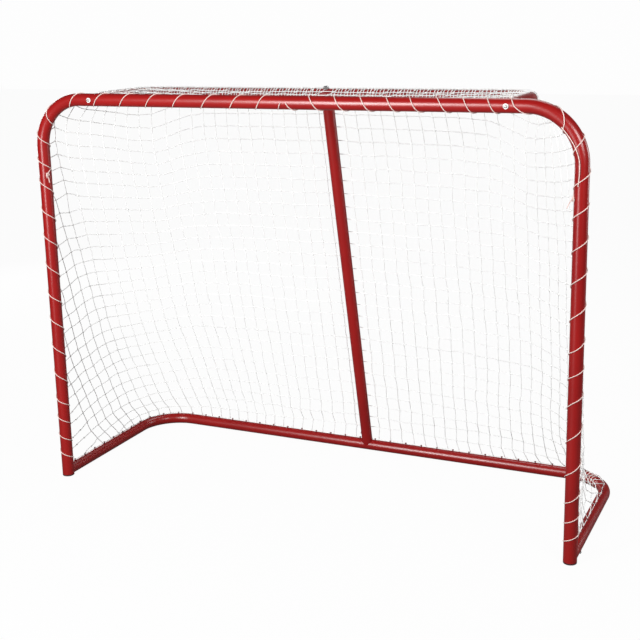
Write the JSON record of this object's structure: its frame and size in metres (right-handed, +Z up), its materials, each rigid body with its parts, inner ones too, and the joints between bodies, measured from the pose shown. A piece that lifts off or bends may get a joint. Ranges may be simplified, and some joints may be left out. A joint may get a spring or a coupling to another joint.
{
  "type": "street hockey goal",
  "caption": "Bolted steel tube hockey goal with rounded corners, a sloping back, and a knotted net laced to the frame.",
  "frame": {"origin": "on the floor, under the middle of the goal's box", "axes": "+Z up, +Y from the goal mouth to the back, +X to the right seen from in front of the mouth"},
  "size_m": [1.5324, 0.5584, 1.1252],
  "materials": {
    "red_paint": "glossy powder coat",
    "plated_steel": "zinc plated",
    "white_washer": "white enamel",
    "end_plug": "moulded",
    "lacing_cord": "braided cord",
    "netting": "knotted twine"
  },
  "bodies": {
    "root": {"back_net": "netting", "base_sleeve": "plated_steel", "centre_bolt": "plated_steel", "centre_bolt_washer": "plated_steel", "centre_screw": "plated_steel", "centre_spigot": "plated_steel", "centre_tube": "red_paint", "centre_tube_insert": "plated_steel", "crossbar_sleeve": "plated_steel", "left_arm_insert": "plated_steel", "left_base_screw": "plated_steel", "left_base_tube": "red_paint", "left_crossbar_lace": "lacing_cord", "left_crossbar_screw": "plated_steel", "left_foot_plug": "end_plug", "left_foot_screw": "plated_steel", "left_foot_spigot": "plated_steel", "left_post_and_crossbar": "red_paint", "left_post_lace": "lacing_cord", "left_side_net": "netting", "left_top_bolt": "plated_steel", "left_top_washer": "white_washer", "rear_top_bar": "red_paint", "right_arm_insert": "plated_steel", "right_base_screw": "plated_steel", "right_base_tube": "red_paint", "right_crossbar_lace": "lacing_cord", "right_crossbar_screw": "plated_steel", "right_foot_plug": "end_plug", "right_foot_screw": "plated_steel", "right_foot_spigot": "plated_steel", "right_post_and_crossbar": "red_paint", "right_post_lace": "lacing_cord", "right_side_net": "netting", "right_top_bolt": "plated_steel", "right_top_washer": "white_washer", "roof_net": "netting"}
  },
  "joints": []
}
